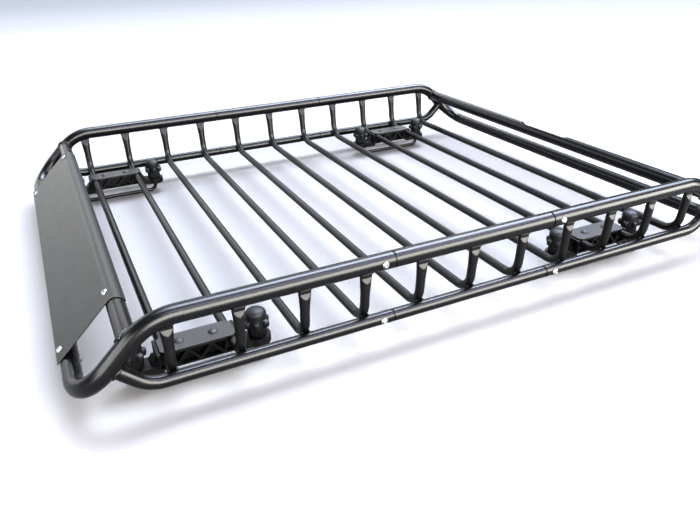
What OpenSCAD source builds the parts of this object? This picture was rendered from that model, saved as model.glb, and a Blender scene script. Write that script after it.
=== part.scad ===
// Roof cargo basket: a three-section welded tube frame with a sheet wind
// fairing at the front and four U-bolt clamps that grip two cross bars.
// +X points to the front of the vehicle, +Y to its left, +Z up.
// All sizes are in millimetres.

/* [Floor] */
// Distance from one floor bar to the next
bar_pitch = 92.2; // [90:0.1:94]
// Outer diameter of a floor bar
bar_d = 13.6; // [12.7:0.1:14]
// Wall thickness of a floor bar
bar_wall = 1.0; // [0.8:0.1:1.4]
// Bend radius of a floor bar where it turns up, on its centre line
bar_bend_r = 33; // [33:0.5:35]

/* [Rails] */
// Distance from the centre line of the basket to the axis of a top rail
rail_y = 457.3; // [456:0.1:458]
// Height of the top rail's axis above the floor bars' axes
rail_z = 94.5; // [92:0.5:98]
// Outer diameter of the top rails and cross tubes
rail_d = 25.4; // [24:0.1:26]
// Wall thickness of the top rails and cross tubes
rail_wall = 1.2; // [1:0.1:1.6]
// Outer diameter of a bottom rail
low_d = 19; // [18:0.1:19]
// Wall thickness of a bottom rail
low_wall = 1.2; // [1:0.1:1.5]

/* [Hoops] */
// Radius of the bend where a top rail turns down at its end
dip_r = 86; // [82:1:90]
// Angle of the sloping ends below the horizontal
dip_angle = 44.5; // [43:0.5:46]
// Radius of the corner between a sloping end and its cross tube
corner_r = 60; // [55:1:65]
// Distance from the last floor bar to the axis of the low cross tube
hoop_reach = 117.5; // [115:0.5:120]

/* [Sections] */
// Distance from the middle of the basket to each section joint
seam_x = 142; // [141:0.5:144]
// Length of the swaged spigot inside each section joint
spigot_len = 40; // [36:1:44]

/* [Rear tube] */
// Length of the pressed flat on top of the rear upper tube
flat_l = 153; // [120:1:180]
// Distance of the flat's middle from the centre line, towards the left
flat_y = 23; // [0:1:40]
// Depth of the pressed flat
flat_depth = 4.5; // [2:0.5:5]
// angle by which the pressed flat leans outwards (degrees)
flat_tilt = 25; // [0:1:40]

/* [Fairing] */
// Width of the wind fairing
fairing_w = 720; // [700:1:730]
// Thickness of the fairing sheet
fairing_t = 1.5; // [1:0.1:2]
// Angle that the sheet wraps round the upper tube
fairing_wrap = 120; // [100:1:130]
// Distance that the sheet reaches past the low cross tube's axis
fairing_lip = 8; // [6:0.5:10]
// Distance of the fairing bolts from its middle
fairing_bolt_y = 333; // [325:1:340]

/* [Clamps] */
// Distance from the centre line of the basket to the middle of a clamp
clamp_y = 386; // [380:1:388]
// Length of a clamp plate
plate_l = 106; // [105:1:108]
// Width of a clamp plate
plate_w = 42; // [40:1:44]
// Thickness of a clamp plate
plate_t = 2; // [1.5:0.1:2.5]
// Distance between the two legs of a U-bolt
ubolt_span = 176; // [174:1:180]
// Diameter of the U-bolt rod
ubolt_d = 8; // [8:0.1:8.2]
// Depth of the U-bolt's lower run below the floor bars' axes
ubolt_drop = 45; // [43:1:50]

/* [Hidden] */
$fn = 48;

// clearance of a coped or bolted joint between fixed pieces
gap = 0.05;
half = 5 * bar_pitch;
rail_r = rail_d / 2;
low_r = low_d / 2;
bar_r = bar_d / 2;

// hoop: the dip starts a little inside the last bar
dip_x = -14;
slope_x = dip_x + dip_r * sin(dip_angle);
slope_z = rail_z - dip_r * (1 - cos(dip_angle));
slope_len = (hoop_reach - slope_x) / cos(dip_angle);
cross_z = slope_z - slope_len * sin(dip_angle);

// bottom rail: axis position, and its upswept end
low_y = rail_y - 0.5;
low_z = 1.6;
low_bend_x = 0.4;
low_bend_r = 100;
low_angle = 51;

// floor bar: centre of its end bend, and the leaning upright
bar_turn = 84;
bar_rise = rail_z - rail_r - bar_bend_r * (1 - cos(bar_turn));
bar_flat_y = rail_y - bar_bend_r * sin(bar_turn) - bar_rise / tan(bar_turn);
upright_len = bar_rise / sin(bar_turn) - 13;
taper_from = upright_len - 30;
pinch_from = upright_len - 1;
pinch_to = upright_len + 7;

// fasteners
bolt_r = 3;
seam_bolt_x = seam_x + 17.5;
nut_corner = 5 / cos(30);
// height of a captive nut's seat inside a spigot of this rail
function seam_nut_z(r, wall) =
    sqrt(pow(r - 2 * wall - 0.1 - gap, 2) - pow(nut_corner, 2)) - 5;

// clamps: centres along the basket, between bars 1-2 and bars 9-10
front_clamp_x = half - bar_pitch / 2;
rear_clamp_x = half - 8.5 * bar_pitch;
leg_r = ubolt_d / 2;
leg_x = ubolt_span / 2;
saddle_top = 6.6;
saddle_foot = -18;
ear_top = -14;
ear_foot = -26;
plate_z = bar_r + 0.3;
ubolt_bend = 14;
leg_top = 26;

// the basket stands on the four U-bolts, with its box centred on X
lift = ubolt_drop + leg_r;
front_reach = half + slope_x + (slope_len + fairing_lip) * cos(dip_angle)
    + (rail_r + gap + fairing_t) * sin(dip_angle);
rear_reach = half + hoop_reach + rail_r;
shift_x = -(front_reach - rear_reach) / 2;

module place() translate([shift_x, 0, lift]) children();
module rod_x(x0, x1, r) translate([x0, 0, 0]) rotate([0, 90, 0]) cylinder(r = r, h = x1 - x0);
module rod_y(y0, y1, r) translate([0, y0, 0]) rotate([-90, 0, 0]) cylinder(r = r, h = y1 - y0);
module both_sides() { children(); mirror([0, 1, 0]) children(); }

// ---------- hoops ----------
// one side of a hoop from the section joint to the corner, radius r;
// x = 0 is the last floor bar and +x points out of the basket
module hoop_side(r, more = 0) {
    translate([0, rail_y, rail_z]) rod_x(seam_x - half - more, dip_x, r);
    hoop_dip(r);
    hoop_slope(r);
}
module hoop_dip(r)
    translate([dip_x, rail_y, rail_z - dip_r]) rotate([90, 0, 0]) rotate([0, 0, 90 - dip_angle])
        rotate_extrude(angle = dip_angle) translate([dip_r, 0]) circle(r);
module slope_frame() translate([slope_x, 0, slope_z]) rotate([0, dip_angle, 0]) children();
module hoop_slope(r) slope_frame() {
    translate([0, rail_y, 0]) rod_x(0, slope_len - corner_r, r);
    translate([slope_len - corner_r, rail_y - corner_r, 0])
        rotate_extrude(angle = 90) translate([corner_r, 0]) circle(r);
}
// short stub across each change of curve, so the run fuses into one tube
module stub(r) rotate([0, 90, 0]) cylinder(r = r, h = 1, center = true);
module hoop_stubs(r) both_sides() {
    translate([dip_x, rail_y, rail_z]) stub(r);
    slope_frame() {
        translate([0, rail_y, 0]) stub(r);
        translate([slope_len - corner_r, rail_y, 0]) stub(r);
        translate([slope_len, rail_y - corner_r, 0]) rotate([0, 0, 90]) stub(r);
    }
}
module hoop_run(r, more = 0) {
    both_sides() hoop_side(r, more);
    slope_frame() translate([slope_len, 0, 0]) rod_y(-(rail_y - corner_r), rail_y - corner_r, r);
}
// what an upper cross tube's end is coped with
module hoop_cope() {
    hoop_dip(rail_r + gap);
    slope_frame() translate([0, rail_y, 0]) stub(rail_r + gap + 0.06);
    hoop_slope(rail_r + gap);
}
module hoop(bolts) difference() {
    union() { hoop_run(rail_r); hoop_stubs(rail_r - 0.4); }
    hoop_run(rail_r - rail_wall, 1);
    hoop_stubs(rail_r - rail_wall + 0.1);
    // holes for the section bolts
    both_sides() translate([seam_bolt_x - half, 0, rail_z]) rod_y(rail_y, rail_y + 20, bolt_r + 0.1);
    // holes for the fairing bolts
    if (bolts) both_sides() slope_frame() translate([slope_len, fairing_bolt_y, -20])
        cylinder(r = bolt_r + 0.1, h = 40);
}
module front_end() translate([half, 0, 0]) children();
module rear_end() mirror([1, 0, 0]) translate([half, 0, 0]) children();

module front_hoop_tube() color("#26282b") place() front_end() hoop(true);
module rear_hoop_tube() color("#26282b") place() rear_end() hoop(false);

// ---------- middle top rails with swaged spigots ----------
module swaged_rail(r, wall, y, z) difference() {
    translate([0, y, z]) {
        rod_x(-seam_x + gap, seam_x - gap, r);
        rod_x(-seam_x - spigot_len, seam_x + spigot_len, r - wall - 0.1);
    }
    translate([0, y, z]) {
        rod_x(-seam_x - spigot_len - 1, seam_x + spigot_len + 1, r - 2 * wall - 0.1);
        for (s = [-1, 1]) translate([s * seam_bolt_x, 0, 0]) rod_y(0, 20, bolt_r + 0.1);
    }
}
module left_middle_top_rail() color("#26282b") place() swaged_rail(rail_r, rail_wall, rail_y, rail_z);
module right_middle_top_rail() color("#26282b") place() mirror([0, 1, 0]) swaged_rail(rail_r, rail_wall, rail_y, rail_z);
module left_middle_bottom_rail() color("#26282b") place() swaged_rail(low_r, low_wall, low_y, low_z);
module right_middle_bottom_rail() color("#26282b") place() mirror([0, 1, 0]) swaged_rail(low_r, low_wall, low_y, low_z);

// ---------- end bottom rails ----------
// the upsweep is one large bend that ends inside the hoop
module low_run_solid(r, more = 0) {
    translate([0, low_y, low_z]) rotate([90, 0, 0]) rod_x(seam_x - half - more, low_bend_x, r);
    translate([low_bend_x, low_y, low_z + low_bend_r]) rotate([90, 0, 0]) rotate([0, 0, -90])
        rotate_extrude(angle = low_angle) translate([low_bend_r, 0]) circle(r);
}
module low_stub(r) translate([low_bend_x, low_y, low_z]) rotate([90, 0, 0]) stub(r);
module end_bottom_rail() difference() {
    union() { low_run_solid(low_r); low_stub(low_r - 0.4); }
    low_run_solid(low_r - low_wall, 1);
    low_stub(low_r - low_wall + 0.1);
    slope_frame() translate([0, rail_y, 0]) rod_x(-40, slope_len + 20, rail_r + gap);
    translate([seam_bolt_x - half, 0, low_z]) rod_y(low_y, low_y + 20, bolt_r + 0.1);
}
module left_front_bottom_rail() color("#26282b") place() front_end() end_bottom_rail();
module right_front_bottom_rail() color("#26282b") place() front_end() mirror([0, 1, 0]) end_bottom_rail();
module left_rear_bottom_rail() color("#26282b") place() rear_end() end_bottom_rail();
module right_rear_bottom_rail() color("#26282b") place() rear_end() mirror([0, 1, 0]) end_bottom_rail();

// ---------- upper cross tubes, coped to the hoops ----------
module upper_tube(bolts, flat) difference() {
    slope_frame() rod_y(-rail_y, rail_y, rail_r);
    slope_frame() difference() {
        rod_y(-rail_y - 1, rail_y + 1, rail_r - rail_wall);
        // the wall follows the pressed flat
        if (flat) rotate([0, flat_tilt - dip_angle, 0]) translate([-20, flat_y - flat_l / 2, rail_r - flat_depth - rail_wall])
            cube([40, flat_l, 20]);
    }
    both_sides() hoop_cope();
    if (bolts) both_sides() slope_frame() translate([0, fairing_bolt_y, -20])
        cylinder(r = bolt_r + 0.1, h = 40);
    if (flat) slope_frame() rotate([0, flat_tilt - dip_angle, 0]) translate([-20, flat_y - flat_l / 2, rail_r - flat_depth])
        cube([40, flat_l, 20]);
}
module front_upper_cross_tube() color("#26282b") place() front_end() upper_tube(true, false);
module rear_upper_cross_tube() color("#26282b") place() rear_end() upper_tube(false, true);

// ---------- floor bars ----------
module bar_run(r, up) {
    rod_y(-bar_flat_y, bar_flat_y, r);
    both_sides() {
        translate([0, bar_flat_y, bar_bend_r]) rotate([90, 0, 90]) rotate([0, 0, -90])
            rotate_extrude(angle = bar_turn) translate([bar_bend_r, 0]) circle(r);
        upright_frame() cylinder(r = r, h = up);
    }
}
module upright_frame()
    translate([0, bar_flat_y + bar_bend_r * sin(bar_turn), bar_bend_r * (1 - cos(bar_turn))])
        rotate([bar_turn - 90, 0, 0]) children();
// the bar widens towards the top rail and is pinched to a flat paddle under it
module paddle() upright_frame() rotate([90, 0, 0]) linear_extrude(height = 6, center = true)
    polygon([[-bar_r + 0.8, taper_from], [-9.3, upright_len + 12], [-9.3, upright_len + 22],
        [9.3, upright_len + 22], [9.3, upright_len + 12], [bar_r - 0.8, taper_from]]);
module pinch() upright_frame() for (m = [0, 1]) mirror([0, m, 0]) rotate([90, 0, 90])
    linear_extrude(height = 30, center = true)
        polygon([[2.9, pinch_to + 0.5], [bar_r + 0.1, pinch_from], [bar_r + 8, pinch_from],
            [bar_r + 8, pinch_to + 0.5]]);
module bar_stubs(r) both_sides() {
    translate([0, bar_flat_y, 0]) rotate([0, 0, 90]) stub(r);
    upright_frame() rotate([0, 90, 0]) stub(r);
}
module floor_bar(i) color("#2b2d30") place() translate([half - (i - 1) * bar_pitch, 0, 0]) difference() {
    union() {
        difference() {
            union() { bar_run(bar_r, pinch_to); bar_stubs(bar_r - 0.3); }
            both_sides() pinch();
        }
        both_sides() paddle();
    }
    bar_run(bar_r - bar_wall, pinch_from - 2);
    bar_stubs(bar_r - bar_wall + 0.1);
    // cope to the top rails, which already dip at the first and last bars
    if (i == 1 || i == 11) mirror([i == 1 ? 0 : 1, 0, 0]) both_sides()
        translate([dip_x, rail_y, rail_z - dip_r]) rotate([0, asin(-dip_x / dip_r), 0])
            translate([0, 0, dip_r - 0.8]) rod_x(-30, 30, rail_r + gap);
    else both_sides() translate([0, rail_y, rail_z]) rod_x(-30, 30, rail_r + gap);
}
module floor_bar_01() floor_bar(1);
module floor_bar_02() floor_bar(2);
module floor_bar_03() floor_bar(3);
module floor_bar_04() floor_bar(4);
module floor_bar_05() floor_bar(5);
module floor_bar_06() floor_bar(6);
module floor_bar_07() floor_bar(7);
module floor_bar_08() floor_bar(8);
module floor_bar_09() floor_bar(9);
module floor_bar_10() floor_bar(10);
module floor_bar_11() floor_bar(11);

// ---------- wind fairing ----------
fair_in = rail_r + gap;
fair_out = fair_in + fairing_t;
module wind_fairing() color("#4a4b4d") place() front_end() slope_frame() difference() {
    union() {
        translate([0, -fairing_w / 2, fair_in]) cube([slope_len + fairing_lip, fairing_w, fairing_t]);
        intersection() {
            difference() {
                rod_y(-fairing_w / 2, fairing_w / 2, fair_out);
                rod_y(-fairing_w / 2 - 1, fairing_w / 2 + 1, fair_in);
            }
            translate([0, fairing_w / 2 + 1, 0]) rotate([90, 0, 0]) linear_extrude(height = fairing_w + 2)
                polygon([[0, 0], [0, 30], [-30, 30], [-30, 0],
                    [-30, 30 * cos(fairing_wrap) / sin(fairing_wrap)]]);
        }
    }
    for (x = [0, slope_len], y = [-fairing_bolt_y, fairing_bolt_y])
        translate([x, y, 0]) cylinder(r = bolt_r + 0.1, h = 30);
}

// ---------- fasteners ----------
// button-head bolt: shank along -z from the seat at z = 0
module button_bolt(len, seat = 0) {
    difference() {
        intersection() {
            translate([0, 0, 3.3 - 6.2]) sphere(r = 6.2);
            cylinder(r = 5.25, h = 4);
        }
        translate([0, 0, 1.4]) cylinder(r = 2.2, h = 4, $fn = 6);
    }
    translate([0, 0, -len]) cylinder(r = bolt_r, h = len + 0.2);
}
module nut(h = 5, af = 10) difference() {
    cylinder(r = af / 2 / cos(30), h = h, $fn = 6);
    translate([0, 0, -1]) cylinder(r = bolt_r + gap, h = h + 2);
}
module fairing_spots() front_end() both_sides() slope_frame()
    for (x = [0, slope_len]) translate([x, fairing_bolt_y, 0]) children();
module fairing_bolts() color("#b8babd") place() fairing_spots()
    translate([0, 0, fair_out + gap]) button_bolt(fair_out + rail_r + 8);
module fairing_nuts() color("#9a9c9f") place() fairing_spots()
    translate([0, 0, -rail_r - 5 - gap]) nut();
module section_spots() both_sides() for (s = [-1, 1]) {
    translate([s * seam_bolt_x, rail_y, rail_z]) rotate([-90, 0, 0]) children(0);
    translate([s * seam_bolt_x, low_y, low_z]) rotate([-90, 0, 0]) children(1);
}
module section_bolts() color("#b8babd") place() section_spots() {
    translate([0, 0, rail_r + gap]) button_bolt(11.5);
    translate([0, 0, low_r + gap]) button_bolt(10.5);
}
// captive nuts inside the spigots, seated on their inner corners
module section_nuts() color("#9a9c9f") place() section_spots() {
    translate([0, 0, seam_nut_z(rail_r, rail_wall)]) nut();
    translate([0, 0, seam_nut_z(low_r, low_wall)]) nut();
}

// ---------- clamps ----------
module clamp_at(front, left) place() translate([front ? front_clamp_x : rear_clamp_x, 0, 0])
    mirror([0, left ? 0 : 1, 0]) translate([0, clamp_y, 0]) children();

module clamp_plate() difference() {
    translate([0, 0, plate_z]) linear_extrude(height = plate_t)
        polygon([[-plate_l / 2 + 6, -plate_w / 2], [plate_l / 2 - 6, -plate_w / 2],
            [plate_l / 2, -plate_w / 2 + 6], [plate_l / 2, plate_w / 2 - 6],
            [plate_l / 2 - 6, plate_w / 2], [-plate_l / 2 + 6, plate_w / 2],
            [-plate_l / 2, plate_w / 2 - 6], [-plate_l / 2, -plate_w / 2 + 6]]);
    for (s = [-1, 1]) translate([s * 24, 0, 0]) cylinder(r = bolt_r + 0.1, h = 30);
}
module rib_window(a, b, c) rotate([90, 0, 0])
    linear_extrude(height = 12, center = true) polygon([a, b, c]);
module saddle() difference() {
    union() {
        // block that carries the bars, with rounded ends
        translate([0, 0, (saddle_foot + saddle_top) / 2])
            cube([116, plate_w, saddle_top - saddle_foot], center = true);
        // ears for the U-bolt legs
        for (s = [-1, 1]) {
            translate([s * 71, 0, (ear_foot + ear_top) / 2]) cube([34, 30, ear_top - ear_foot], center = true);
            translate([s * leg_x, 0, ear_foot]) cylinder(r = 19, h = ear_top - ear_foot);
            // gusset from the ear up to the block
            translate([s * 58, 0, ear_top]) rotate([90, 0, 0]) linear_extrude(height = 24, center = true)
                polygon([[-s * 2, -2], [s * 9, -2], [-s * 2, 14]]);
        }
    }
    // seats for the two floor bars, open at the top
    for (s = [-1, 1]) translate([s * bar_pitch / 2, 0, 0]) {
        rod_y(-30, 30, bar_r + 0.3);
        translate([-bar_r - 0.3, -30, 0]) cube([bar_d + 0.6, 60, 10]);
    }
    // plate bolts, with nut pockets in the foot
    for (s = [-1, 1]) translate([s * 24, 0, 0]) {
        translate([0, 0, -30]) cylinder(r = bolt_r + 0.1, h = 60);
        translate([0, 0, saddle_foot - 1]) cylinder(r = 6.1, h = 7.5, $fn = 6);
    }
    // U-bolt legs
    for (s = [-1, 1]) translate([s * leg_x, 0, -40]) cylinder(r = leg_r + 0.35, h = 40);
    // windows between the truss ribs on both long sides
    for (y = [-plate_w / 2, plate_w / 2]) translate([0, y, 0]) {
        rib_window([-35, 3], [-23, 3], [-29, -11]);
        rib_window([-20, 3], [-6, 3], [-13, -12]);
        rib_window([6, 3], [20, 3], [13, -12]);
        rib_window([23, 3], [35, 3], [29, -11]);
        rib_window([-4, -14], [4, -14], [0, -4]);
        rib_window([-9, -14.5], [-24, -14.5], [-17, -3]);
        rib_window([9, -14.5], [24, -14.5], [17, -3]);
        rib_window([-2, 3], [2, 3], [0, -1]);
    }
    // coring of the ends
    for (s = [-1, 1], y = [-12, 12]) translate([s * 58, y, -3]) cube([6, 10, 12], center = true);
}
module plate_bolts() for (s = [-1, 1]) translate([s * 24, 0, plate_z + plate_t + gap]) {
    // carriage-bolt dome
    intersection() {
        translate([0, 0, 3.6 - 9]) sphere(r = 9);
        cylinder(r = 7, h = 5);
    }
    translate([0, 0, -plate_z - plate_t + saddle_foot + 1]) cylinder(r = bolt_r, h = plate_z + plate_t - saddle_foot - 0.8);
}
module plate_nuts() for (s = [-1, 1]) translate([s * 24, 0, saddle_foot + 1.2]) nut();
module u_bolt() {
    translate([0, 0, -ubolt_drop]) rod_x(-leg_x + ubolt_bend, leg_x - ubolt_bend, leg_r);
    for (s = [0, 1]) mirror([s, 0, 0]) {
        translate([leg_x - ubolt_bend, 0, -ubolt_drop + ubolt_bend]) rotate([90, 0, 0]) rotate([0, 0, -90])
            rotate_extrude(angle = 90) translate([ubolt_bend, 0]) circle(leg_r);
        translate([leg_x, 0, -ubolt_drop + ubolt_bend])
            cylinder(r = leg_r, h = leg_top + ubolt_drop - ubolt_bend - 1);
        translate([leg_x, 0, leg_top - 1]) cylinder(r1 = leg_r, r2 = leg_r - 0.9, h = 1);
    }
}
module knob(s) translate([s * leg_x, 0, 0]) difference() {
    union() {
        // barrel
        translate([0, 0, ear_top + 0.3]) cylinder(r = 14, h = 14 - ear_top - 0.3);
        // six grip lobes
        for (a = [0:60:300]) rotate([0, 0, a]) translate([15.6, 0, 0.5]) cylinder(r = 4.6, h = 12);
        // cap with a domed top that ends in a small flat
        intersection() {
            translate([0, 0, 13.2]) cylinder(r = 14.8, h = 16.1);
            translate([0, 0, 11.8]) sphere(r = 17.7);
        }
    }
    translate([0, 0, ear_top - 1]) cylinder(r = leg_r + 0.05, h = 42);
    // grip grooves of the barrel
    for (a = [0:45:315]) rotate([0, 0, a + 22.5]) translate([15, 0, ear_top - 1]) cylinder(r = 2, h = 14);
}

module front_left_clamp_plate() color("#303235") clamp_at(true, true) clamp_plate();
module front_left_saddle() color("#1b1c1e") clamp_at(true, true) saddle();
module front_left_plate_bolts() color("#202124") clamp_at(true, true) plate_bolts();
module front_left_plate_nuts() color("#9a9c9f") clamp_at(true, true) plate_nuts();
module front_left_u_bolt() color("#202124") clamp_at(true, true) u_bolt();
module front_left_front_knob() color("#1b1c1e") clamp_at(true, true) knob(1);
module front_left_rear_knob() color("#1b1c1e") clamp_at(true, true) knob(-1);
module front_right_clamp_plate() color("#303235") clamp_at(true, false) clamp_plate();
module front_right_saddle() color("#1b1c1e") clamp_at(true, false) saddle();
module front_right_plate_bolts() color("#202124") clamp_at(true, false) plate_bolts();
module front_right_plate_nuts() color("#9a9c9f") clamp_at(true, false) plate_nuts();
module front_right_u_bolt() color("#202124") clamp_at(true, false) u_bolt();
module front_right_front_knob() color("#1b1c1e") clamp_at(true, false) knob(1);
module front_right_rear_knob() color("#1b1c1e") clamp_at(true, false) knob(-1);
module rear_left_clamp_plate() color("#303235") clamp_at(false, true) clamp_plate();
module rear_left_saddle() color("#1b1c1e") clamp_at(false, true) saddle();
module rear_left_plate_bolts() color("#202124") clamp_at(false, true) plate_bolts();
module rear_left_plate_nuts() color("#9a9c9f") clamp_at(false, true) plate_nuts();
module rear_left_u_bolt() color("#202124") clamp_at(false, true) u_bolt();
module rear_left_front_knob() color("#1b1c1e") clamp_at(false, true) knob(1);
module rear_left_rear_knob() color("#1b1c1e") clamp_at(false, true) knob(-1);
module rear_right_clamp_plate() color("#303235") clamp_at(false, false) clamp_plate();
module rear_right_saddle() color("#1b1c1e") clamp_at(false, false) saddle();
module rear_right_plate_bolts() color("#202124") clamp_at(false, false) plate_bolts();
module rear_right_plate_nuts() color("#9a9c9f") clamp_at(false, false) plate_nuts();
module rear_right_u_bolt() color("#202124") clamp_at(false, false) u_bolt();
module rear_right_front_knob() color("#1b1c1e") clamp_at(false, false) knob(1);
module rear_right_rear_knob() color("#1b1c1e") clamp_at(false, false) knob(-1);

front_hoop_tube();
rear_hoop_tube();
left_middle_top_rail();
right_middle_top_rail();
left_front_bottom_rail();
right_front_bottom_rail();
left_middle_bottom_rail();
right_middle_bottom_rail();
left_rear_bottom_rail();
right_rear_bottom_rail();
front_upper_cross_tube();
rear_upper_cross_tube();
floor_bar_01();
floor_bar_02();
floor_bar_03();
floor_bar_04();
floor_bar_05();
floor_bar_06();
floor_bar_07();
floor_bar_08();
floor_bar_09();
floor_bar_10();
floor_bar_11();
wind_fairing();
fairing_bolts();
fairing_nuts();
section_bolts();
section_nuts();
front_left_clamp_plate();
front_left_saddle();
front_left_plate_bolts();
front_left_plate_nuts();
front_left_u_bolt();
front_left_front_knob();
front_left_rear_knob();
front_right_clamp_plate();
front_right_saddle();
front_right_plate_bolts();
front_right_plate_nuts();
front_right_u_bolt();
front_right_front_knob();
front_right_rear_knob();
rear_left_clamp_plate();
rear_left_saddle();
rear_left_plate_bolts();
rear_left_plate_nuts();
rear_left_u_bolt();
rear_left_front_knob();
rear_left_rear_knob();
rear_right_clamp_plate();
rear_right_saddle();
rear_right_plate_bolts();
rear_right_plate_nuts();
rear_right_u_bolt();
rear_right_front_knob();
rear_right_rear_knob();
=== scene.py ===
# Roof cargo basket: the look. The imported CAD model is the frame; every piece
# here is built in its coordinates (metres, +X vehicle front, +Y left, +Z up).
import bpy
import bmesh
import math
import random
from mathutils import Vector, Matrix


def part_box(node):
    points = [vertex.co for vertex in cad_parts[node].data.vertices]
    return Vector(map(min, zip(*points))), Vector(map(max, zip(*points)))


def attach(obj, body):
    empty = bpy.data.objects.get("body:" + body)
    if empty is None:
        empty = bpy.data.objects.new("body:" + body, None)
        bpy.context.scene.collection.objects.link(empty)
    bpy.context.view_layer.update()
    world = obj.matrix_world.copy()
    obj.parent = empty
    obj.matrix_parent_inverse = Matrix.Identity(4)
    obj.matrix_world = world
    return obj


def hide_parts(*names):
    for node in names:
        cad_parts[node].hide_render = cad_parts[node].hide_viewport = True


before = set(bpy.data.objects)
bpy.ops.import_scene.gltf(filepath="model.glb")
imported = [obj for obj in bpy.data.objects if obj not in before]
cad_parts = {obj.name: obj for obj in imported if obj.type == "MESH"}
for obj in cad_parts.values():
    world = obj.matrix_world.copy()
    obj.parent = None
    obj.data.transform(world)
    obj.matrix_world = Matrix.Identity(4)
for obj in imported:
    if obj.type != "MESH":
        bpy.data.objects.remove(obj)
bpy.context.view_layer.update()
random.seed(7)

# ---------------------------------------------------------------- sizes (mm)
HALF, PITCH = 461.0, 92.2
BAR_R, RAIL_R, LOW_R = 6.8, 12.7, 9.5
RAIL_Y, RAIL_Z, LOW_Y, LOW_Z = 457.3, 94.5, 456.8, 1.6
DIP_X, DIP_R, DIP_A = -14.0, 86.0, math.radians(44.5)
CORNER_R, REACH = 60.0, 117.5
SLOPE_X = DIP_X + DIP_R * math.sin(DIP_A)
SLOPE_Z = RAIL_Z - DIP_R * (1 - math.cos(DIP_A))
SLOPE_L = (REACH - SLOPE_X) / math.cos(DIP_A)
SEAM, SEAM_GAP = 142.0, 0.7
BOLT_X = SEAM + 17.5
FAIR_W, FAIR_T, FAIR_WRAP, FAIR_LIP, FAIR_BOLT_Y = 720.0, 1.5, math.radians(120), 8.0, 333.0
CLAMP_Y, LEG_X, DROP = 386.0, 88.0, 45.0
FRONT_CX, REAR_CX = HALF - PITCH / 2, HALF - 8.5 * PITCH
BAR_BEND_R, BAR_TURN = 33.0, math.radians(84)

lo6, hi6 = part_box("floor_bar_06")
SX = (lo6[0] + hi6[0]) / 2
LIFT = lo6[2] + BAR_R / 1000


def W(p):
    """A point in the basket's own millimetres, in the row frame's metres."""
    return Vector((p[0] / 1000 + SX, p[1] / 1000, p[2] / 1000 + LIFT))


# ---------------------------------------------------------------- paths
class Path:
    """Points with tangents, made of straight runs and arcs."""

    def __init__(self, p, t):
        self.p = [Vector(p)]
        self.t = [Vector(t).normalized()]

    def line(self, q, n=1):
        a, q = self.p[-1].copy(), Vector(q)
        d = (q - a).normalized()
        for i in range(1, n + 1):
            self.p.append(a.lerp(q, i / n))
            self.t.append(d)
        return self

    def ahead(self, length, n=1):
        return self.line(self.p[-1] + self.t[-1] * length, n)

    def arc(self, centre, axis, angle, n):
        c, a = Vector(centre), self.p[-1].copy()
        t0 = self.t[-1].copy()
        for i in range(1, n + 1):
            m = Matrix.Rotation(angle * i / n, 3, Vector(axis))
            self.p.append(c + m @ (a - c))
            self.t.append(m @ t0)
        return self


def frames(path, first):
    """Rotation-minimising normals along a path."""
    out = []
    n = Vector(first)
    t = path.t[0]
    n = (n - t * n.dot(t)).normalized()
    for i, ti in enumerate(path.t):
        if i:
            q = path.t[i - 1].rotation_difference(ti)
            n = q @ n
            n = (n - ti * n.dot(ti)).normalized()
        out.append((n.copy(), ti.cross(n).normalized()))
    return out


class Geo:
    """Vertices and faces of one piece, in the basket's millimetres."""

    def __init__(self):
        self.v, self.f = [], []

    def ring(self, pts):
        i = len(self.v)
        self.v.extend(Vector(p) for p in pts)
        return list(range(i, i + len(pts)))

    def bridge(self, a, b):
        n = len(a)
        for i in range(n):
            j = (i + 1) % n
            self.f.append((a[i], a[j], b[j], b[i]))

    def cap(self, ring, flip=False):
        self.f.append(tuple(reversed(ring)) if flip else tuple(ring))

    def fan(self, ring, point, flip=False):
        i = len(self.v)
        self.v.append(Vector(point))
        n = len(ring)
        for k in range(n):
            a, b = ring[k], ring[(k + 1) % n]
            self.f.append((b, a, i) if flip else (a, b, i))

    def add(self, other, m=None):
        i = len(self.v)
        self.v.extend((m @ v if m else v.copy()) for v in other.v)
        flip = m is not None and m.to_3x3().determinant() < 0
        for f in other.f:
            g = tuple(k + i for k in f)
            self.f.append(tuple(reversed(g)) if flip else g)
        return self


def sweep(path, radius, seg=40, first=(0, 0, 1), chamfer=0.5, section=None, closed=False, geo=None):
    """A solid tube along a path. section(i, frac) gives the ring's 2D points if it isn't round."""
    g = geo or Geo()
    fr = frames(path, first)
    rings = []
    n = len(path.p)

    def ring(i, r, shift=0.0, sec=None):
        a, b = fr[i]
        c = path.p[i] + path.t[i] * shift
        if sec is None:
            sec = [(r * math.cos(2 * math.pi * k / seg), r * math.sin(2 * math.pi * k / seg)) for k in range(seg)]
        return g.ring([c + a * u + b * w for u, w in sec])

    for i in range(n):
        r = radius(i) if callable(radius) else radius
        sec = section(i) if section else None
        if not closed and chamfer and i == 0:
            s2 = [(u * (1 - chamfer / r), w * (1 - chamfer / r)) for u, w in sec] if sec else None
            rings.append(ring(0, r - chamfer, 0.0, s2))
            rings.append(ring(0, r, chamfer, sec))
        elif not closed and chamfer and i == n - 1:
            rings.append(ring(i, r, -chamfer, sec))
            s2 = [(u * (1 - chamfer / r), w * (1 - chamfer / r)) for u, w in sec] if sec else None
            rings.append(ring(i, r - chamfer, 0.0, s2))
        else:
            rings.append(ring(i, r, 0.0, sec))
    for a, b in zip(rings, rings[1:]):
        g.bridge(a, b)
    if closed:
        g.bridge(rings[-1], rings[0])
    else:
        g.cap(rings[0], True)
        g.cap(rings[-1])
    return g


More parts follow.
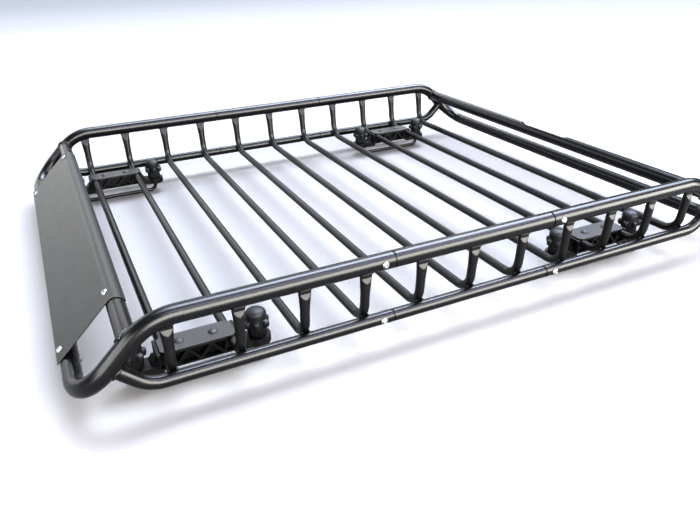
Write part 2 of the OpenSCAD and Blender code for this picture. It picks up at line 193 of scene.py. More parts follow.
def lathe(profile, seg=48, geo=None, shape=None):
    """Turned solid about Z from (r, z) points, top and bottom closed on the axis where r is 0."""
    g = geo or Geo()
    prev = None
    for r, z in profile:
        if r <= 1e-6:
            cur = ("pt", z)
        else:
            pts = []
            for k in range(seg):
                a = 2 * math.pi * k / seg
                rr = shape(r, z, a) if shape else r
                pts.append((rr * math.cos(a), rr * math.sin(a), z))
            cur = g.ring(pts)
        if prev is not None:
            if isinstance(prev, tuple) and prev[0] == "pt":
                g.fan(cur, (0, 0, prev[1]), True)
            elif isinstance(cur, tuple) and cur[0] == "pt":
                g.fan(prev, (0, 0, cur[1]))
            else:
                g.bridge(prev, cur)
        prev = cur
    return g


def prism(poly, lo, hi, axis="y"):
    """Extruded polygon. axis y: poly is (x, z); axis z: poly is (x, y)."""
    g = Geo()
    if axis == "y":
        a = g.ring([(x, lo, z) for x, z in poly])
        b = g.ring([(x, hi, z) for x, z in poly])
    elif axis == "x":
        a = g.ring([(lo, y, z) for y, z in poly])
        b = g.ring([(hi, y, z) for y, z in poly])
    else:
        a = g.ring([(x, y, lo) for x, y in poly])
        b = g.ring([(x, y, hi) for x, y in poly])
    g.bridge(a, b)
    g.cap(a, True)
    g.cap(b)
    return g


def box(x0, x1, y0, y1, z0, z1):
    return prism([(x0, y0), (x1, y0), (x1, y1), (x0, y1)], z0, z1, "z")


def rod(r, z0, z1, at=(0, 0), seg=40):
    return prism([(at[0] + r * math.cos(2 * math.pi * k / seg), at[1] + r * math.sin(2 * math.pi * k / seg)) for k in range(seg)], z0, z1, "z")


# ---------------------------------------------------------------- objects
def to_bmesh(g, world=True):
    bm = bmesh.new()
    vs = [bm.verts.new(W(v) if world else v) for v in g.v]
    for f in g.f:
        try:
            bm.faces.new([vs[i] for i in f])
        except ValueError:
            pass
    bmesh.ops.recalc_face_normals(bm, faces=bm.faces)
    return bm


def finish_mesh(bm, me, sharp):
    limit = math.radians(sharp)
    for f in bm.faces:
        f.smooth = True
    for e in bm.edges:
        e.smooth = not (len(e.link_faces) == 2 and e.calc_face_angle(0) > limit)
    bm.to_mesh(me)
    bm.free()


def piece(name, g, mat, body="frame", nodes=(), sharp=38, bevel=None, world=True, limit=30):
    me = bpy.data.meshes.new(name)
    bm = to_bmesh(g, world)
    finish_mesh(bm, me, sharp)
    ob = bpy.data.objects.new(name, me)
    bpy.context.scene.collection.objects.link(ob)
    me.materials.append(mat)
    if bevel:
        m = ob.modifiers.new("round", "BEVEL")
        m.width = bevel / 1000
        m.segments = 2
        m.limit_method = "ANGLE"
        m.angle_limit = math.radians(limit)
        m.harden_normals = True
        m.use_clamp_overlap = True
    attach(ob, body)
    if nodes:
        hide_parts(*nodes)
    return ob


def boolean(base, ops):
    """Applies ('-' or '+' or '*', Geo) to a Geo with exact booleans and returns a Geo."""
    def temp(g):
        me = bpy.data.meshes.new("tmp")
        bm = to_bmesh(g, False)
        bm.to_mesh(me)
        bm.free()
        o = bpy.data.objects.new("tmp", me)
        bpy.context.scene.collection.objects.link(o)
        return o
    obj = temp(base)
    temps = [obj]
    for op, g in ops:
        t = temp(g)
        temps.append(t)
        t.hide_render = True
        m = obj.modifiers.new("b", "BOOLEAN")
        m.object = t
        m.operation = {"-": "DIFFERENCE", "+": "UNION", "*": "INTERSECT"}[op]
        m.solver = "EXACT"
    bpy.context.view_layer.update()
    dg = bpy.context.evaluated_depsgraph_get()
    me = bpy.data.meshes.new_from_object(obj.evaluated_get(dg))
    bm = bmesh.new()
    bm.from_mesh(me)
    bmesh.ops.remove_doubles(bm, verts=bm.verts, dist=0.004)
    bmesh.ops.dissolve_limit(bm, angle_limit=math.radians(0.6), verts=bm.verts, edges=bm.edges)
    out = Geo()
    bm.verts.ensure_lookup_table()
    out.v = [v.co.copy() for v in bm.verts]
    out.f = [tuple(v.index for v in f.verts) for f in bm.faces]
    bm.free()
    bpy.data.meshes.remove(me)
    for t in temps:
        d = t.data
        bpy.data.objects.remove(t)
        bpy.data.meshes.remove(d)
    return out


# ---------------------------------------------------------------- materials
def node(nt, kind, at=(0, 0), **sets):
    n = nt.nodes.new(kind)
    n.location = at
    for k, v in sets.items():
        setattr(n, k, v)
    return n


def finish_nodes(name, base_a, base_b, rough_a, rough_b, peel=(1100, 0.25), wave=(70, 0.12), wear=None,
                 dust=None, metallic=0.0, spec=0.5, coat=0.0, coat_rough=0.3, grain=None):
    """Procedural finish: colour and roughness drift, fine peel, slow waviness, rubbed edges, settled dust."""
    mat = bpy.data.materials.new(name)
    mat.use_nodes = True
    nt = mat.node_tree
    nt.nodes.clear()
    out = node(nt, "ShaderNodeOutputMaterial", (900, 0))
    bs = node(nt, "ShaderNodeBsdfPrincipled", (600, 0))
    nt.links.new(bs.outputs[0], out.inputs[0])
    bs.inputs["Metallic"].default_value = metallic
    bs.inputs["Specular IOR Level"].default_value = spec
    bs.inputs["Coat Weight"].default_value = coat
    bs.inputs["Coat Roughness"].default_value = coat_rough
    co = node(nt, "ShaderNodeTexCoord", (-1200, 0)).outputs["Object"]

    def noise(scale, detail=3, rough=0.55, w=0.0, at=(-900, 0)):
        n = node(nt, "ShaderNodeTexNoise", at)
        n.inputs["Scale"].default_value = scale
        n.inputs["Detail"].default_value = detail
        n.inputs["Roughness"].default_value = rough
        nt.links.new(co, n.inputs["Vector"])
        return n.outputs["Fac"]

    def ramp(src, a, b, pa=0.3, pb=0.7, at=(-600, 0)):
        r = node(nt, "ShaderNodeValToRGB", at)
        r.color_ramp.elements[0].position = pa
        r.color_ramp.elements[0].color = (*a, 1) if len(a) == 3 else a
        r.color_ramp.elements[1].position = pb
        r.color_ramp.elements[1].color = (*b, 1) if len(b) == 3 else b
        nt.links.new(src, r.inputs[0])
        return r.outputs[0]

    def mixc(fac, a, b, at=(0, 0), blend="MIX"):
        m = node(nt, "ShaderNodeMix", at, data_type="RGBA", blend_type=blend)
        if hasattr(fac, "links"):
            nt.links.new(fac, m.inputs[0])
        else:
            m.inputs[0].default_value = fac
        for src, sock in ((a, m.inputs[6]), (b, m.inputs[7])):
            if hasattr(src, "links"):
                nt.links.new(src, sock)
            else:
                sock.default_value = (*src, 1)
        return m.outputs[2]

    def math_(op, a, b=None, at=(0, 0), clamp=False):
        m = node(nt, "ShaderNodeMath", at, operation=op, use_clamp=clamp)
        for src, sock in ((a, m.inputs[0]), (b, m.inputs[1])):
            if src is None:
                continue
            if hasattr(src, "links"):
                nt.links.new(src, sock)
            else:
                sock.default_value = src
        return m.outputs[0]

    def maprange(src, a, b, lo=0.3, hi=0.7, at=(0, 0)):
        m = node(nt, "ShaderNodeMapRange", at)
        nt.links.new(src, m.inputs[0])
        m.inputs[1].default_value = lo
        m.inputs[2].default_value = hi
        m.inputs[3].default_value = a
        m.inputs[4].default_value = b
        return m.outputs[0]

    drift = noise(22, 4, 0.6, at=(-900, 300))
    mott = noise(240, 3, 0.6, at=(-900, 100))
    col = ramp(drift, base_a, base_b, 0.36, 0.66, at=(-600, 300))
    col = mixc(0.25, col, ramp(mott, tuple(c * 0.75 for c in base_a), tuple(c * 1.2 for c in base_b), at=(-600, 100)), at=(-300, 250))
    rgh = maprange(noise(34, 4, 0.6, at=(-900, -100)), rough_a, rough_b, at=(-600, -100))
    if wear:
        amount, tint, width = wear
        bev = node(nt, "ShaderNodeBevel", (-900, 700), samples=4)
        bev.inputs[0].default_value = width
        geo = node(nt, "ShaderNodeNewGeometry", (-900, 850))
        dot = node(nt, "ShaderNodeVectorMath", (-700, 750), operation="DOT_PRODUCT")
        nt.links.new(bev.outputs[0], dot.inputs[0])
        nt.links.new(geo.outputs["Normal"], dot.inputs[1])
        edge = maprange(dot.outputs["Value"], 1.0, 0.0, 0.80, 0.995, at=(-500, 750))
        rub = maprange(noise(160, 5, 0.7, at=(-900, 500)), 0.0, 1.0, 0.44, 0.62, at=(-500, 550))
        mask = math_("MULTIPLY", edge, rub, at=(-300, 650), clamp=True)
        mask = math_("MULTIPLY", mask, amount, at=(-150, 650), clamp=True)
        col = mixc(mask, col, tint, at=(0, 400))
        rgh = math_("ADD", rgh, math_("MULTIPLY", mask, 0.18, at=(0, 200)), at=(150, 200), clamp=True)
    if dust:
        amount, tint = dust
        geo2 = node(nt, "ShaderNodeNewGeometry", (-900, -500))
        sep = node(nt, "ShaderNodeSeparateXYZ", (-700, -500))
        nt.links.new(geo2.outputs["Normal"], sep.inputs[0])
        up = maprange(sep.outputs[2], 0.0, 1.0, 0.35, 1.0, at=(-500, -500))
        spots = maprange(noise(130, 6, 0.72, at=(-900, -700)), 0.0, 1.0, 0.42, 0.78, at=(-500, -700))
        dm = math_("MULTIPLY", up, spots, at=(-300, -600))
        dm = math_("MULTIPLY", dm, amount, at=(-150, -600), clamp=True)
        col = mixc(dm, col, tint, at=(250, 300))
        rgh = math_("ADD", rgh, math_("MULTIPLY", dm, 0.5, at=(0, -400)), at=(250, -200), clamp=True)
    nt.links.new(col, bs.inputs["Base Color"])
    nt.links.new(rgh, bs.inputs["Roughness"])
    b1 = node(nt, "ShaderNodeBump", (0, -800))
    b1.inputs["Strength"].default_value = wave[1]
    b1.inputs["Distance"].default_value = 0.0006
    nt.links.new(noise(wave[0], 2, 0.5, at=(-900, -900)), b1.inputs["Height"])
    b2 = node(nt, "ShaderNodeBump", (250, -800))
    b2.inputs["Strength"].default_value = peel[1]
    b2.inputs["Distance"].default_value = 0.00012
    nt.links.new(noise(peel[0], 3, 0.6, at=(-900, -1100)), b2.inputs["Height"])
    nt.links.new(b1.outputs[0], b2.inputs["Normal"])
    last = b2
    if grain:
        b3 = node(nt, "ShaderNodeBump", (450, -800))
        b3.inputs["Strength"].default_value = grain[1]
        b3.inputs["Distance"].default_value = 0.0002
        v = node(nt, "ShaderNodeTexVoronoi", (-900, -1300))
        v.inputs["Scale"].default_value = grain[0]
        nt.links.new(co, v.inputs["Vector"])
        nt.links.new(v.outputs["Distance"], b3.inputs["Height"])
        nt.links.new(b2.outputs[0], b3.inputs["Normal"])
        last = b3
    nt.links.new(last.outputs[0], bs.inputs["Normal"])
    return mat


TUBE = finish_nodes("powder_coat_tube", (0.0020, 0.0021, 0.0026), (0.0034, 0.0035, 0.0042), 0.25, 0.30, peel=(1100, 0.05),
                    wave=(60, 0.012), wear=(0.15, (0.02, 0.02, 0.023), 0.0006), dust=(0.03, (0.03, 0.029, 0.027)), spec=0.36)
BAR = finish_nodes("powder_coat_bar", (0.0022, 0.0023, 0.0026), (0.0038, 0.0039, 0.0044), 0.32, 0.40, peel=(1100, 0.12),
                   wave=(60, 0.04), wear=(0.15, (0.02, 0.02, 0.023), 0.0005), dust=(0.04, (0.03, 0.029, 0.027)), spec=0.40)
SHEET = finish_nodes("powder_coat_sheet", (0.0075, 0.0075, 0.0074), (0.0086, 0.0086, 0.0085), 0.40, 0.43, peel=(900, 0.03),
                     wave=(9, 0.0), wear=(0.4, (0.03, 0.03, 0.031), 0.0012), dust=(0.03, (0.04, 0.039, 0.036)), spec=0.5)
PLATE = finish_nodes("powder_coat_plate", (0.0105, 0.0104, 0.0104), (0.0145, 0.0144, 0.0144), 0.40, 0.50,
                     peel=(900, 0.16), wave=(40, 0.06), wear=(0.6, (0.06, 0.06, 0.063), 0.0009), dust=(0.10, (0.06, 0.058, 0.054)), spec=0.5)
WELD = finish_nodes("powder_coat_weld", (0.0020, 0.0021, 0.0026), (0.0036, 0.0038, 0.0044), 0.18, 0.26,
                    peel=(1500, 0.3), wave=(400, 0.4), dust=(0.03, (0.03, 0.029, 0.027)), spec=0.5)
STEEL_BLACK = finish_nodes("black_hardware", (0.0030, 0.0030, 0.0033), (0.0060, 0.0060, 0.0065), 0.28, 0.40, peel=(1100, 0.12),
                           wave=(60, 0.08), wear=(0.6, (0.05, 0.048, 0.045), 0.0004), dust=(0.06, (0.03, 0.029, 0.027)), spec=0.42)
ZINC = finish_nodes("zinc_plated_steel", (0.26, 0.265, 0.27), (0.34, 0.345, 0.35), 0.44, 0.54, peel=(1600, 0.06),
                    wave=(300, 0.15), metallic=1.0, dust=(0.06, (0.3, 0.29, 0.27)))
BOLT_BLACK = finish_nodes("painted_bolt_head", (0.0090, 0.0090, 0.0090), (0.0125, 0.0125, 0.0125), 0.50, 0.60, peel=(1100, 0.10),
                          wave=(60, 0.06), wear=(0.6, (0.05, 0.049, 0.047), 0.0005), dust=(0.08, (0.05, 0.049, 0.046)), spec=0.5)
PLASTIC = finish_nodes("moulded_plastic", (0.0014, 0.0014, 0.0016), (0.0024, 0.0024, 0.0026), 0.44, 0.56, peel=(700, 0.15),
                       wave=(120, 0.12), wear=(0.5, (0.016, 0.016, 0.017), 0.0007), dust=(0.05, (0.025, 0.024, 0.022)), spec=0.30,
                       grain=(1800, 0.2))
KNOB = finish_nodes("soft_touch_plastic", (0.0018, 0.0020, 0.0031), (0.0028, 0.0031, 0.0046), 0.48, 0.56, peel=(800, 0.12),
                    wave=(120, 0.06), wear=(0.4, (0.025, 0.026, 0.030), 0.0006), dust=(0.05, (0.03, 0.029, 0.028)), spec=0.40,
                    grain=(2400, 0.15))

# ---------------------------------------------------------------- tubes
N_TUBE, N_LOW, N_BAR = 44, 36, 48


def hoop_path(sx, seam):
    """Whole hoop from the left section joint, over its cross tube, to the right one. sx is 1 at the front, -1 at the rear."""
    def P(x, y, z):
        return (sx * x, y, z)
    path = Path(P(seam, RAIL_Y, RAIL_Z), P(1, 0, 0))
    path.line(P(HALF + DIP_X, RAIL_Y, RAIL_Z))
    path.arc(P(HALF + DIP_X, RAIL_Y, RAIL_Z - DIP_R), (0, sx, 0), DIP_A, 16)
    s = Vector(P(math.cos(DIP_A), 0, -math.sin(DIP_A)))
    end = Vector(P(HALF + SLOPE_X, RAIL_Y, SLOPE_Z)) + s * (SLOPE_L - CORNER_R)
    path.line(end)
    nrm = Vector(P(math.sin(DIP_A), 0, math.cos(DIP_A)))
    path.arc(end + Vector((0, -CORNER_R, 0)), nrm, -math.pi / 2 * sx, 24)
    cross = Vector(P(HALF + REACH, 0, SLOPE_Z - SLOPE_L * math.sin(DIP_A)))
    path.line((cross.x, -(RAIL_Y - CORNER_R), cross.z))
    path.arc(path.p[-1] - s * CORNER_R, nrm, -math.pi / 2 * sx, 24)
    start = Vector(P(HALF + SLOPE_X, -RAIL_Y, SLOPE_Z))
    path.line(start)
    path.arc(P(HALF + DIP_X, -RAIL_Y, RAIL_Z - DIP_R), (0, -sx, 0), DIP_A, 16)
    path.line(P(seam, -RAIL_Y, RAIL_Z))
    return path


FH, RH = hoop_path(1, SEAM + SEAM_GAP), hoop_path(-1, SEAM + SEAM_GAP)
piece("front_hoop", sweep(FH, RAIL_R, N_TUBE, chamfer=0.7), TUBE, nodes=["front_hoop_tube"])
piece("rear_hoop", sweep(RH, RAIL_R, N_TUBE, chamfer=0.7), TUBE, nodes=["rear_hoop_tube"])


def mid_rail(name, y, z, r, inner, node_name, seg):
    g = Geo()
    sweep(Path((-SEAM + SEAM_GAP, y, z), (1, 0, 0)).line((SEAM - SEAM_GAP, y, z)), r, seg, chamfer=0.7, geo=g)
    piece(name, g, TUBE, nodes=[node_name])
    # the swaged spigots that show in the two joints
    g = Geo()
    for s in (-1, 1):
        a, b = s * (SEAM - SEAM_GAP - 3), s * (SEAM + SEAM_GAP + 3)
        p = Path((min(a, b), y, z), (1, 0, 0)).line((max(a, b), y, z))
        sweep(p, inner, seg, chamfer=0, geo=g)
    piece(name + "_spigots", g, STEEL_BLACK)


for side, s in (("left", 1), ("right", -1)):
    mid_rail(f"{side}_middle_rail", s * RAIL_Y, RAIL_Z, RAIL_R, RAIL_R - 1.3, f"{side}_middle_top_rail", N_TUBE)
    mid_rail(f"{side}_middle_low_rail", s * LOW_Y, LOW_Z, LOW_R, LOW_R - 1.3, f"{side}_middle_bottom_rail", N_LOW)


def low_path(sx, sy):
    """Bottom rail from its section joint to the hoop that it runs into."""
    bx, br, ba = HALF + 12.0, 50.0, math.radians(44)
    path = Path((sx * (SEAM + SEAM_GAP), sy * LOW_Y, LOW_Z), (sx, 0, 0))
    path.line((sx * bx, sy * LOW_Y, LOW_Z))
    path.arc((sx * bx, sy * LOW_Y, LOW_Z + br), (0, -sx, 0), ba, 14)
    ex, ez = bx + br * math.sin(ba), LOW_Z + br * (1 - math.cos(ba))
    run = ((SLOPE_Z - ez) * math.cos(DIP_A) + (HALF + SLOPE_X - ex) * math.sin(DIP_A)) / math.sin(DIP_A + ba)
    path.ahead(run - 6)
    return path


LOWS = {}
for sx, fr in ((1, "front"), (-1, "rear")):
    for sy, side in ((1, "left"), (-1, "right")):
        LOWS[sx, sy] = low_path(sx, sy)
        piece(f"{side}_{fr}_low_rail", sweep(LOWS[sx, sy], LOW_R, N_LOW, chamfer=0.7), TUBE,
              nodes=[f"{side}_{fr}_bottom_rail"])

# upper cross tubes; the rear one has a pressed flat that leans outwards
FLAT_L, FLAT_D, FLAT_AT, FLAT_TILT = 153.0, 4.5, 23.0, math.radians(25)


def cross_path(sx, cuts):
    x = sx * (HALF + SLOPE_X)
    path = Path((x, -RAIL_Y + 6, SLOPE_Z), (0, 1, 0))
    for y in cuts:
        path.line((x, y, SLOPE_Z))
    path.line((x, RAIL_Y - 6, SLOPE_Z))
    return path


piece("front_upper_tube", sweep(cross_path(1, []), RAIL_R, N_TUBE, chamfer=0), TUBE,
      nodes=["front_upper_cross_tube"])


def flat_cuts():
    out = []
    for s in (-1, 1):
        e = [FLAT_AT + s * FLAT_L / 2 + d for d in (-2.4, -1.6, -0.8, 0, 0.8, 1.6, 2.4)]
        out += e
    return sorted(out)


CUTS = flat_cuts()
rear_path = cross_path(-1, CUTS)


def flat_section(i):
    y = rear_path.p[i].y - FLAT_AT
    t = max(0.0, min(1.0, (FLAT_L / 2 + 2.0 - abs(y)) / 4.0))
    t = t * t * (3 - 2 * t)
    top = RAIL_R - FLAT_D * t
    pts = []
    for k in range(N_TUBE):
        a = 2 * math.pi * k / N_TUBE
        u, w = RAIL_R * math.cos(a), RAIL_R * math.sin(a)
        out = u * math.cos(FLAT_TILT) - w * math.sin(FLAT_TILT)
        if out > top:
            cut = (out - top) * 0.92
            u -= cut * math.cos(FLAT_TILT)
            w += cut * math.sin(FLAT_TILT)
        pts.append((u, w))
    return pts


piece("rear_upper_tube", sweep(rear_path, RAIL_R, N_TUBE, chamfer=0, section=flat_section), TUBE,
      nodes=["rear_upper_cross_tube"], sharp=50)

# ---------------------------------------------------------------- floor bars
BAR_TOP = RAIL_Z - RAIL_R + 2.0
RISE = RAIL_Z - RAIL_R - BAR_BEND_R * (1 - math.cos(BAR_TURN))
FLAT_Y = RAIL_Y - BAR_BEND_R * math.sin(BAR_TURN) - RISE / math.tan(BAR_TURN)


BAR_MARKS = (2.5, 5.0, 7.0, 8.0, 9.0, 10.0, 11.0, 12.0, 13.0, 14.0, 15.0, 16.0, 17.0, 22.0, 29.0, 37.0, 45.0)


def bar_path():
    lean = Vector((0, math.cos(BAR_TURN), math.sin(BAR_TURN)))
    top = RISE / math.sin(BAR_TURN) + 2.0
    marks = [top - d for d in reversed(BAR_MARKS)]
    a0 = Vector((0, -(FLAT_Y + BAR_BEND_R * math.sin(BAR_TURN)), BAR_BEND_R * (1 - math.cos(BAR_TURN))))
    down = Vector((0, math.cos(BAR_TURN), -math.sin(BAR_TURN)))
    path = Path(a0 - down * top, down)
    for m in reversed(marks):
        path.line(a0 - down * m)
    path.line(a0)
    path.arc((0, -FLAT_Y, BAR_BEND_R), (1, 0, 0), BAR_TURN, 18)
    path.line((0, 0, 0))
    path.line((0, FLAT_Y, 0))
    path.arc((0, FLAT_Y, BAR_BEND_R), (1, 0, 0), BAR_TURN, 18)
    b0 = path.p[-1].copy()
    for m in marks:
        path.line(b0 + lean * m)
    path.line(b0 + lean * top)
    return path


BP = bar_path()


def bar_section(i):
    """Round bar that widens upwards and is pinched to a flat paddle under the top rail."""
    j = min(i, len(BP.p) - 1 - i)
    dist = 0.0 if j == 0 else (BAR_MARKS[j - 1] if j <= len(BAR_MARKS) else 99.0)
    half_w = max(BAR_R, 6.0 + 3.3 * (45.0 - min(dist, 45.0)) / 42.0)
    half_t = BAR_R - (BAR_R - 3.1) * max(0.0, min(1.0, (16.0 - dist) / 8.0))
    pts = []
    for k in range(N_BAR):
        a = 2 * math.pi * k / N_BAR
        w = BAR_R * math.sin(a)
        pts.append((half_w * math.cos(a), max(-half_t, min(half_t, w))))
    return pts


def place_x(g, dx, dy=0.0, dz=0.0, mirror_y=False):
    m = Matrix.Translation((dx, dy, dz))
    if mirror_y:
        m = m @ Matrix.Scale(-1, 4, (0, 1, 0))
    return Geo().add(g, m)


BAR_GEO = sweep(BP, BAR_R, N_BAR, first=(1, 0, 0), chamfer=0, section=bar_section)
for i in range(11):
    x = HALF - i * PITCH
    piece(f"bar_{i + 1:02d}", place_x(BAR_GEO, x), BAR, nodes=[f"floor_bar_{i + 1:02d}"], sharp=18)

# ---------------------------------------------------------------- welds
def bead(points, radius, ripple=0.16, pitch=2.4, closed=True, seg=8):
    """A weld bead along points, thickened into overlapping ripples."""
    pts = [Vector(p) for p in points]
    n = len(pts)
    path = Path(pts[0], (1, 0, 0))
    path.p, path.t, s, acc = [], [], [], 0.0
    for i in range(n):
        a = pts[(i - 1) % n] if closed or i else pts[0]
        b = pts[(i + 1) % n] if closed or i < n - 1 else pts[-1]
        path.p.append(pts[i])
        path.t.append((b - a).normalized())
        if i:
            acc += (pts[i] - pts[i - 1]).length
        s.append(acc)
    up = Vector((0.13, 0.21, 0.97))

    def rad(i):
        end = 1.0
        if not closed:
            d = min(s[i], acc - s[i])
            end = max(0.15, min(1.0, d / radius / 1.2)) ** 0.5
        return radius * end * (1 + ripple * math.sin(2 * math.pi * s[i] / pitch + 0.7 * math.sin(s[i] * 0.9)))
    return sweep(path, rad, seg, first=up, chamfer=0, closed=closed)


def seg_dist(p, a, b):
    ab = b - a
    t = max(0.0, min(1.0, (p - a).dot(ab) / ab.length_squared))
    return (p - (a + ab * t)).length, a + ab * t


def axis_dist(p, pts):
    best = None
    for a, b in zip(pts, pts[1:]):
        d, q = seg_dist(p, a, b)
        if best is None or d < best[0]:
            best = (d, q)
    return best


def cope_curve(base, along, r, main, big, n=72, push=0.7, span=30):
    """Where a tube of radius r along a line first meets the outside of the main tube."""
    along = Vector(along).normalized()
    e1 = along.orthogonal().normalized()
    e2 = along.cross(e1)
    out = []
    for k in range(n):
        a = 2 * math.pi * k / n
        off = e1 * math.cos(a) + e2 * math.sin(a)
        p0 = Vector(base) + off * r
        lo, hi = -span, span
        # walk inwards until inside the main tube, then bisect
        s = lo
        found = None
        while s < hi:
            if axis_dist(p0 + along * s, main)[0] < big:
                found = s
                break
            s += 1.0
        if found is None:
            found = 0.0
        a0, b0 = found - 1.0, found
        for _ in range(14):
            m = (a0 + b0) / 2
            if axis_dist(p0 + along * m, main)[0] < big:
                b0 = m
            else:
                a0 = m
        q = p0 + along * b0
        d, c = axis_dist(q, main)
        out_dir = ((q - c).normalized() + off).normalized()
        out.append(q + out_dir * push)
    return out


def resample(points, step=0.6, closed=True):
    pts = list(points) + ([points[0]] if closed else [])
    out, carry = [], 0.0
    for a, b in zip(pts, pts[1:]):
        l = (b - a).length
        s = carry
        while s < l:
            out.append(a.lerp(b, s / l))
            s += step
        carry = s - l
    return out


WSTEP = 0.8
g = Geo()
for sx, hp in ((1, FH), (-1, RH)):
    for sy in (1, -1):
        base = (sx * (HALF + SLOPE_X), sy * (RAIL_Y - 14), SLOPE_Z)
        near = [p for p in hp.p if p.y * sy > 300 and abs(abs(p.x) - HALF - SLOPE_X) < 90]
        if sy < 0:
            near = list(near)
        c = cope_curve(base, (0, sy, 0), RAIL_R, near, RAIL_R, push=0.5, span=22)
        g.add(bead(resample(c, WSTEP), 2.1))
        lp = LOWS[sx, sy]
        c = cope_curve(lp.p[-1], lp.t[-1], LOW_R, near, RAIL_R, push=0.4, span=34)
        g.add(bead(resample(c, WSTEP), 1.9))
piece("hoop_welds", g, WELD, sharp=80)

# paddle tops under the top rail, and the bends against the bottom rail
g1, g2 = Geo(), Geo()
ring_pts = []
for k in range(48):
    a = 2 * math.pi * k / 48
    ca, sa = math.cos(a), math.sin(a)
    x = 9.3 * math.copysign(abs(ca) ** 0.45, ca)
    w = 3.9 * math.copysign(abs(sa) ** 0.45, sa)
    yy = RAIL_Y + w
    zz = RAIL_Z - math.sqrt(RAIL_R ** 2 - w * w) - 0.35
    ring_pts.append(Vector((x, yy, zz)))
paddle_bead = bead(resample(ring_pts, WSTEP), 1.25)
contact_n = Vector((0, LOW_Y - FLAT_Y, LOW_Z - BAR_BEND_R)).normalized()
contact = Vector((0, FLAT_Y, BAR_BEND_R)) + contact_n * (BAR_BEND_R + BAR_R)
tang = Vector((1, 0, 0)).cross(contact_n)
for sgn in (1, -1):
    line = []
    for k in range(15):
        t = -1 + 2 * k / 14
        # each bead runs along the crease on one side of the bar
        p = contact + Vector((sgn * (4.6 + 0.9 * (1 - t * t)), 0, 0)) + tang * (t * 5.6)
        # keep it in the crease between the two round surfaces
        lowc = Vector((p.x, LOW_Y, LOW_Z))
        d = p - lowc
        p = lowc + d.normalized() * (LOW_R + 0.9)
        line.append(p)
    g2.add(bead(resample(line, 0.7, False), 1.7, closed=False))
for i in range(11):
    x = HALF - i * PITCH
    for s in (1, -1):
        m = Matrix.Translation((x, 0, 0)) @ (Matrix.Scale(-1, 4, (0, 1, 0)) if s < 0 else Matrix.Identity(4))
        g1.add(paddle_bead, m)
        g1.add(g2, m)
piece("bar_welds", g1, WELD, sharp=80)

# ---------------------------------------------------------------- fairing
def slope_m(sx=1):
    """Slope frame: x along the sloping end, z out of its face."""
    m = Matrix.Translation((HALF + SLOPE_X, 0, SLOPE_Z)) @ Matrix.Rotation(DIP_A, 4, "Y")
    return Matrix.Scale(sx, 4, (1, 0, 0)) @ m if sx < 0 else m


fi, fo = RAIL_R + 0.05, RAIL_R + 0.05 + FAIR_T
outer, inner = [], []
steps = 26
for k in range(steps + 1):
    a = math.pi / 2 + FAIR_WRAP * (1 - k / steps)
    outer.append((fo * math.cos(a), fo * math.sin(a)))
    inner.append((fi * math.cos(a), fi * math.sin(a)))
for k in range(1, 13):
    x = (SLOPE_L + FAIR_LIP) * k / 12
    outer.append((x, fo))
    inner.append((x, fi))
prof = outer + inner[::-1]
g = Geo()
ys = [-FAIR_W / 2 + FAIR_W * k / 24 for k in range(25)]
rings = [g.ring([(x, y, z) for x, z in prof]) for y in ys]
for a, b in zip(rings, rings[1:]):
    g.bridge(a, b)
n = len(outer)
for ring, flip in ((rings[0], True), (rings[-1], False)):
    for k in range(n - 1):
        q = (ring[k], ring[k + 1], ring[2 * n - 2 - k], ring[2 * n - 1 - k])
        g.f.append(tuple(reversed(q)) if flip else q)
piece("fairing", Geo().add(g, slope_m()), SHEET, nodes=["wind_fairing"], bevel=0.35, sharp=30, limit=50)

# ---------------------------------------------------------------- fasteners
def hex_r(a, af, off=0.0):
    """Distance to a hexagon's side at an angle."""
    t = (a + off) % (math.pi / 3) - math.pi / 6
    return af / 2 / math.cos(t)


def button_head(r=5.25, h=3.3, af=4.0, deep=1.9, seg=48):
    """Domed head with a hexagon socket; its seat is at z 0."""
    g = Geo()
    dome = []
    R = (r * r + h * h) / (2 * h)
    prof = [(r - 0.25, 0.0), (r, 0.2)]
    for k in range(1, 10):
        t = k / 9
        rr = r - (r - af / 2 - 0.75) * t
        z = min(h, math.sqrt(max(0.0, R * R - rr * rr)) - (R - h) + 0.12)
        prof.append((rr, z))
    top = prof[-1][1]
    prof.append((af / 2 + 0.45, top - 0.02))
    rings = [g.ring([(r_ * math.cos(2 * math.pi * k / seg), r_ * math.sin(2 * math.pi * k / seg), z) for k in range(seg)]) for r_, z in prof]
    for lev, grow in ((top - 0.2, 0.12), (top - 0.35, 0.0), (top - deep, 0.0)):
        rings.append(g.ring([((hex_r(2 * math.pi * k / seg, af) + grow) * math.cos(2 * math.pi * k / seg),
                              (hex_r(2 * math.pi * k / seg, af) + grow) * math.sin(2 * math.pi * k / seg), lev) for k in range(seg)]))
    for a, b in zip(rings, rings[1:]):
        g.bridge(a, b)
    g.fan(rings[-1], (0, 0, top - deep - 0.8))
    g.cap(rings[0], True)
    return g


def thread_rod(r, z0, z1, pitch=1.0, depth=0.55, seg=24, per=5, tip=0.7):
    """Threaded rod about Z with a chamfered tip at its upper end."""
    g = Geo()
    rings = []
    n = max(2, int((z1 - z0) / pitch * per))
    for i in range(n + 1):
        z = z0 + (z1 - z0) * i / n
        pts = []
        for k in range(seg):
            a = k / seg
            ph = (z / pitch - a) % 1.0
            d = depth * abs(2 * ph - 1) ** 1.2
            rr = r - depth + d
            if z > z1 - tip:
                rr = min(rr, r - (z - z1 + tip) * 0.8 - 0.1)
            if z < z0 + 0.4:
                rr = min(rr, r - depth)
            pts.append((rr * math.cos(2 * math.pi * a), rr * math.sin(2 * math.pi * a), z))
        rings.append(g.ring(pts))
    for a, b in zip(rings, rings[1:]):
        g.bridge(a, b)
    g.cap(rings[0], True)
    g.cap(rings[-1])
    return g


